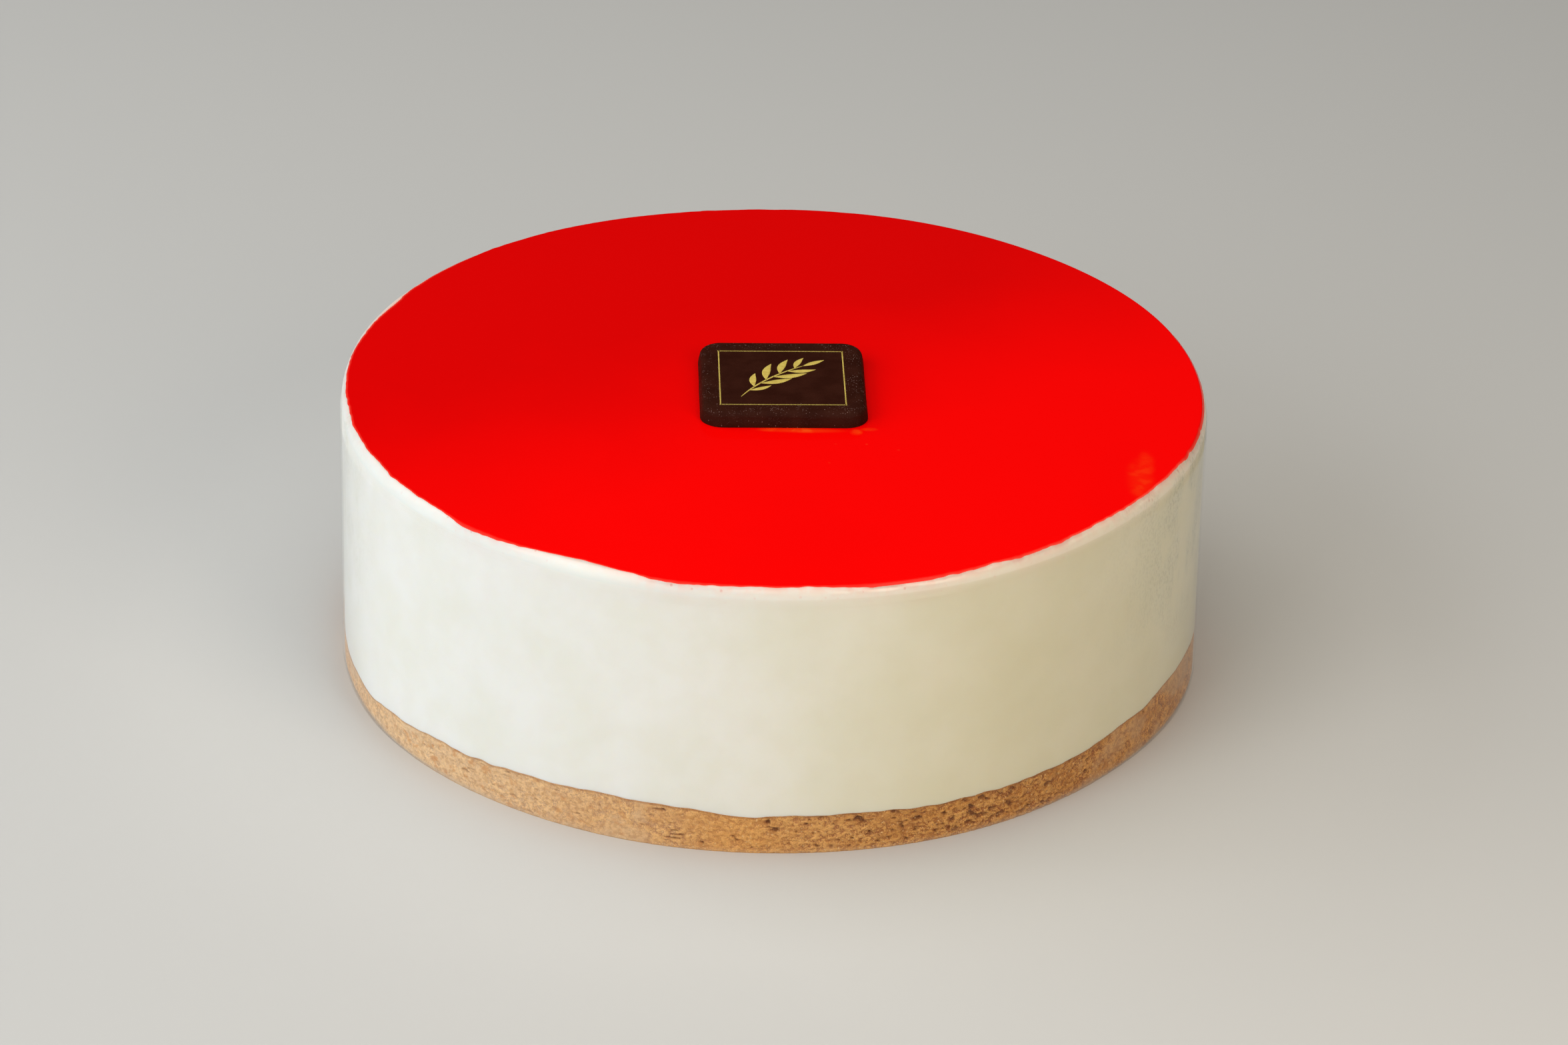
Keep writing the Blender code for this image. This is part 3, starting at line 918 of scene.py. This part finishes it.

# %% [markdown]
# ## Cream finish
# Cream cheese scatters light below its surface, which softens its shading, so it has a little subsurface
# scattering. Its colour runs from a cool white on the left to a darker, warmer cream on the right, which is
# painted shade, and faint clouds of its own run through it. The bare rounded edge is moister and shinier than
# the side; its colour is painted shade on the left and a painted highlight on the right, and the jelly has
# stained it pink. On the right, tiny air pockets under the film read as grey flecks drawn out upwards, made
# darker there as painted shade, and on the far left the same grey flecks are painted reflections of wrinkles
# in the film.

# %% Colour the filling
LIT_SIDE_WHITE, LIT_SIDE_WHITE_DEEP = linear(245, 244, 239), linear(241, 240, 231)
PAINTED_SHADE_WHITE, PAINTED_SHADE_WHITE_DEEP = linear(238, 231, 203), linear(234, 227, 196)
PAINTED_SHADE_EDGE_LEFT, PAINTED_HIGHLIGHT_EDGE_RIGHT = linear(235, 239, 234), linear(255, 246, 224)
CLOUD_CREAM = linear(216, 202, 164)
STAIN_PINK, STAIN_RED = linear(255, 190, 172), linear(226, 90, 70)
FROST_AND_PAINTED_LIGHT_GREY, POCKET_GREY = linear(212, 212, 194), linear(176, 170, 140)
tree, shader = finish_of("cream_cheese", cream)
slow = fill(tree, mottle, Scale=55, Low=0.3, High=0.7)
# Painted shade: a cool white on the left, a darker and warmer cream on the right, mixed by the shaded share.
lit_side_white = mix(tree, slow, LIT_SIDE_WHITE, LIT_SIDE_WHITE_DEEP)
painted_shade_white = mix(tree, slow, PAINTED_SHADE_WHITE, PAINTED_SHADE_WHITE_DEEP)
colour = mix(tree, point_value(tree, "shaded"), lit_side_white, painted_shade_white)
clouds = fill(tree, mottle, Scale=150, Detail=4.0, Low=0.38, High=0.66)
colour = tinted(tree, colour, clouds, 0.06, CLOUD_CREAM)
# The bare edge's colour is painted shade on the left and a painted highlight on the right.
painted_light_edge = mix(tree, point_value(tree, "shaded"), PAINTED_SHADE_EDGE_LEFT, PAINTED_HIGHLIGHT_EDGE_RIGHT)
colour = mix(tree, point_value(tree, "bare"), colour, painted_light_edge)
blotchy = fill(tree, mottle, Scale=420, Low=0.30, High=0.62)
blotchy = sums(tree, "MULTIPLY", spread(tree, blotchy, 0, 1, 0.6, 1.0), point_value(tree, "stain"))
colour = mix(tree, blotchy, colour, STAIN_PINK)
red_dots = fill(tree, flecks, Scale=1100, Share=0.06, Size=0.4)
red_dots = sums(tree, "MULTIPLY", red_dots, point_value(tree, "stain"))
colour = tinted(tree, colour, red_dots, 0.7, STAIN_RED)
# Grey flecks: air pockets under the film, darkened at the right end as painted shade, and on the far left
# painted reflections of wrinkles in the film.
frost_and_painted_light_part = fill(tree, mottle, (1, 1, 0.6), Scale=110, Low=0.36, High=0.56)
frost_and_painted_light_part = sums(tree, "MULTIPLY", frost_and_painted_light_part, point_value(tree, "frost_and_painted_light"))
colour = tinted(tree, colour, frost_and_painted_light_part, 0.35, FROST_AND_PAINTED_LIGHT_GREY)
pockets = fill(tree, mottle, (1, 1, 0.7), Scale=1500, Detail=2.0, Low=0.48, High=0.62)
pockets = sums(tree, "MULTIPLY", pockets, frost_and_painted_light_part)
colour = tinted(tree, colour, pockets, 0.40, POCKET_GREY)
smooth = sums(tree, "MULTIPLY_ADD", point_value(tree, "bare"), -0.18, 0.46)
fine = fill(tree, mottle, Scale=500, Low=0.3, High=0.7)
dimples = sums(tree, "SUBTRACT", sums(tree, "MULTIPLY", fine, 0.15), pockets)
bump = node(tree, "ShaderNodeBump", {"Strength": 0.6, "Distance": 0.0001, "Height": dimples})
connect(tree, shader, Base_Color=colour, Roughness=smooth, Normal=bump.outputs[0])
connect(tree, shader, Subsurface_Weight=0.25, Subsurface_Radius=(1.0, 0.8, 0.55), Subsurface_Scale=0.003)

# %% [markdown]
# ## Jelly finish
# Clear red jelly over white filling is a deep, even red that lets through no green or blue at all, and a wet
# gloss lies on it. The lower index of a watery jelly keeps what it mirrors faint. Its red is painted darker
# towards the back left, as painted shade. Orange spots in front of the plaque and in small places near the
# right-hand edge are a painted sheen. The thin edge's pink is stronger on the right, as painted light over
# its shade. A few small bubbles lie in front of the plaque.

# %% A soft oval mask
def spot(tree, place, centre, radii):
    """A soft oval mask: 1 in the middle, 0 where the distance over the radii, way by way, reaches 1."""
    scaled = node(tree, "ShaderNodeVectorMath", {0: place, 1: radii}, operation="DIVIDE").outputs[0]
    ends = {0: scaled, 1: tuple(np.divide(centre, radii))}
    apart = node(tree, "ShaderNodeVectorMath", ends, operation="DISTANCE").outputs["Value"]
    return spread(tree, apart, 1.0, 0.2)


# %% Colour the jelly
PAINTED_SHADE_WAY = (-0.45, 0.80, 0.0)
JELLY_LEVEL = 0.0664
SPOT_DEPTH = 0.01
# Orange spots painted as sheen on the jelly: middle, radii and share of each.
PAINTED_SHEEN_SPOTS = (
    ((0.0066, -0.0226), (0.0124, 0.0017), 0.75),
    ((0.0192, -0.0232), (0.0018, 0.0020), 0.50),
    ((0.0221, -0.0216), (0.0024, 0.0012), 0.35),
    ((0.0848, -0.0360), (0.0026, 0.0080), 0.16),
    ((0.0830, -0.0450), (0.0040, 0.0130), 0.26),
)
BUBBLE_PLACE = ((0.0205, -0.0350), (0.0130, 0.0100))
CLEAR_RED, PAINTED_SHADE_RED = linear(255, 1, 0), linear(226, 0, 0)
PAINTED_SHEEN_ORANGE, BUBBLE_RED, THIN_PINK = linear(255, 88, 22), linear(255, 90, 50), linear(254, 104, 84)
tree, shader = finish_of("red_jelly", jelly)
place = node(tree, "ShaderNodeTexCoord").outputs["Object"]
back = node(tree, "ShaderNodeVectorMath", {0: place, 1: PAINTED_SHADE_WAY}, operation="DOT_PRODUCT")
cloudy = fill(tree, mottle, Scale=22, Low=0.3, High=0.7)
# Painted shade: the red darkens towards the back left.
back_shade = spread(tree, back.outputs["Value"], -0.045, 0.050, -0.12, 1.0)
colour = mix(tree, sums(tree, "MULTIPLY_ADD", cloudy, 0.18, back_shade), CLEAR_RED, PAINTED_SHADE_RED)
patchy = fill(tree, mottle, Scale=260, Low=0.40, High=0.66)
# Painted sheen: orange spots in front of the plaque and near the right-hand edge.
for centre, radii, share in PAINTED_SHEEN_SPOTS:
    oval = spot(tree, place, (*centre, JELLY_LEVEL), (*radii, SPOT_DEPTH))
    here = sums(tree, "MULTIPLY", oval, spread(tree, patchy, 0, 1, 0.35, 1.0))
    colour = tinted(tree, colour, here, share, PAINTED_SHEEN_ORANGE)
bubbles = fill(tree, flecks, Scale=700, Share=0.10, Size=0.3)
oval = spot(tree, place, (*BUBBLE_PLACE[0], JELLY_LEVEL), (*BUBBLE_PLACE[1], SPOT_DEPTH))
colour = tinted(tree, colour, sums(tree, "MULTIPLY", bubbles, oval), 0.25, BUBBLE_RED)
# The thin edge's pink, stronger on the right as painted light.
colour = tinted(tree, colour, point_value(tree, "thin"), 0.70, THIN_PINK)
wobble = fill(tree, mottle, Scale=40, Low=0.2, High=0.8)
bump = node(tree, "ShaderNodeBump", {"Strength": 0.12, "Distance": 0.0003, "Height": wobble})
gloss = spread(tree, point_value(tree, "thin"), 0, 0.25, 0.35, 0.08)
connect(tree, shader, Base_Color=colour, Roughness=0.12, IOR=1.38, Normal=bump.outputs[0])
connect(tree, shader, Specular_IOR_Level=gloss)

# %% [markdown]
# ## Chocolate and gold
# Dark chocolate has a soft sheen and carries a dust of pale specks, most of them along the edges where it
# was handled. The gold is a dull printed colour and not metal.

# %% Colour the plaque
CHOCOLATE_BROWN, CHOCOLATE_DEEP = linear(53, 24, 16), linear(45, 18, 11)
PALE_DUST = linear(164, 134, 128)
tree, shader = finish_of("dark_chocolate", plaque)
slow = fill(tree, mottle, Scale=220, Low=0.3, High=0.7)
colour = mix(tree, slow, CHOCOLATE_BROWN, CHOCOLATE_DEEP)
dust = fill(tree, flecks, Scale=2600, Share=0.04, Size=0.3)
edge_dust = fill(tree, flecks, Scale=3800, Share=0.28, Size=0.4)
clustered = fill(tree, mottle, Scale=200, Low=0.38, High=0.62)
edge_dust = sums(tree, "MULTIPLY", edge_dust, sums(tree, "MULTIPLY", clustered, point_value(tree, "rim")))
dust = sums(tree, "MULTIPLY", dust, spread(tree, point_value(tree, "rim"), 0, 0.2))
colour = tinted(tree, colour, sums(tree, "MAXIMUM", dust, edge_dust), 0.65, PALE_DUST)
fine = fill(tree, mottle, Scale=2400, Low=0.3, High=0.7)
bump = node(tree, "ShaderNodeBump", {"Strength": 0.35, "Distance": 0.0001, "Height": fine})
connect(tree, shader, Base_Color=colour, Roughness=0.55, Specular_IOR_Level=0.07, Normal=bump.outputs[0])

# %% Colour the print
PRINT_GOLD, PRINT_GOLD_DEEP = linear(216, 193, 100), linear(200, 175, 84)
tree, shader = finish_of("printed_gold", print_frame)
slow = fill(tree, mottle, Scale=900, Low=0.3, High=0.7)
colour = mix(tree, slow, PRINT_GOLD, PRINT_GOLD_DEEP)
connect(tree, shader, Base_Color=colour, Roughness=0.45)
print_sprig.data.materials.append(print_frame.data.materials[0])

# %% [markdown]
# ## Film finish
# Clear film lets light straight through and mirrors a little, more at a slant. A mix of a Transparent shader
# and a mirror by Fresnel says just that, and unlike a glass shader it lets the lamps light the cake behind
# it. Only the front of each face mirrors, so the sheet's back doesn't mirror a second time, and the head of
# the film, which is cut clean, mirrors less.

# %% Colour the film
FILM_INDEX = 1.30
MIRROR_COLOUR = (0.95, 0.96, 0.97, 1)
tree, shader = finish_of("clear_film", film)
clear = node(tree, "ShaderNodeBsdfTransparent")
facing = node(tree, "ShaderNodeNewGeometry").outputs["Backfacing"]
mirror_share = node(tree, "ShaderNodeFresnel", {"IOR": FILM_INDEX}).outputs[0]
mirror_share = sums(tree, "MULTIPLY", mirror_share, sums(tree, "SUBTRACT", 1.0, facing))
body_share = spread(tree, point_value(tree, "body"), 0, 1, 0.2, 1.0)
mirror_share = sums(tree, "MULTIPLY", mirror_share, body_share)
connect(tree, shader, Base_Color=MIRROR_COLOUR, Metallic=1.0, Roughness=0.14)
both = node(tree, "ShaderNodeMixShader", {0: mirror_share, 1: clear.outputs[0], 2: shader.outputs[0]})
tree.links.new(both.outputs[0], tree.nodes["Material Output"].inputs["Surface"])

# %% [markdown]
# ## Floor, light and air
# The cake stands on a plain pale floor. Three broad, slightly cool lights on the left, one overhead and a
# small warm one at the near right give the side its slow change from white to warm grey, together with the
# painted shade in the filling's colour. Broad lights are faint for their size, and the room round them stays
# dim. A jelly this smooth would mirror them as pale squares from some sides, so only the small one can be
# seen in glossy surfaces.

# %% Make the floor
FLOOR_HALF = 4.0
FLOOR_LINES = 9
steps = np.linspace(-FLOOR_HALF, FLOOR_HALF, FLOOR_LINES)
x, y = np.meshgrid(steps, steps, indexing="ij")
floor_points = np.stack((x, y, np.zeros_like(x)), axis=-1).reshape(-1, 3)
floor_mesh = bpy.data.meshes.new("floor")
floor_mesh.from_pydata(floor_points.tolist(), [], grid_faces(FLOOR_LINES, FLOOR_LINES).tolist())
floor = bpy.data.objects.new("floor", floor_mesh)
bpy.context.scene.collection.objects.link(floor)
tree, shader = finish_of("pale_floor", floor)
connect(tree, shader, Base_Color=linear(202, 201, 200), Roughness=0.7)


# %% A soft light
LIGHT_AIM = (0, 0, 0.04)


def soft_light(name, place, size, power, colour, mirrored):
    """A square area light aimed at the cake's middle; only a mirrored one shows in glossy surfaces."""
    data = bpy.data.lights.new(name, "AREA")
    data.size = size
    data.energy = power
    data.color = colour
    light = bpy.data.objects.new(name, data)
    bpy.context.scene.collection.objects.link(light)
    away = np.array(place) - np.array(LIGHT_AIM)
    away = away / np.linalg.norm(away)
    side_way = np.cross((0, 0, 1) if abs(away[2]) < 0.99 else (0, 1, 0), away)
    side_way = side_way / np.linalg.norm(side_way)
    turned = np.eye(4)
    turned[:3, 0], turned[:3, 1], turned[:3, 2] = side_way, np.cross(away, side_way), away
    turned[:3, 3] = place
    light.matrix_world = turned.T.tolist()
    light.visible_camera = False
    light.visible_glossy = mirrored


# %% Add the lights and the dim room
LIGHTS = (
    ("light_left", (-1.0, -0.45, 0.60), 1.1, 5.3, (0.90, 0.96, 1.0), False),
    ("light_left_back", (-1.1, 0.35, 0.60), 1.0, 5.3, (0.92, 0.97, 1.0), False),
    ("light_left_front", (-0.75, -0.95, 0.60), 0.8, 5.5, (0.95, 0.98, 1.0), False),
    ("light_near_right", (0.36, -0.55, 0.42), 0.35, 1.8, (1.0, 0.86, 0.68), True),
    ("light_over", (0.0, 0.0, 1.20), 1.4, 9.8, (1.0, 0.97, 0.88), False),
)
ROOM_GREY = (0.02, 0.02, 0.02, 1)
for settings in LIGHTS:
    soft_light(*settings)
world = bpy.data.worlds.new("dim_room")
world.use_nodes = True
world.node_tree.nodes["Background"].inputs["Color"].default_value = ROOM_GREY
bpy.context.scene.world = world
print("lights:", [settings[0] for settings in LIGHTS])
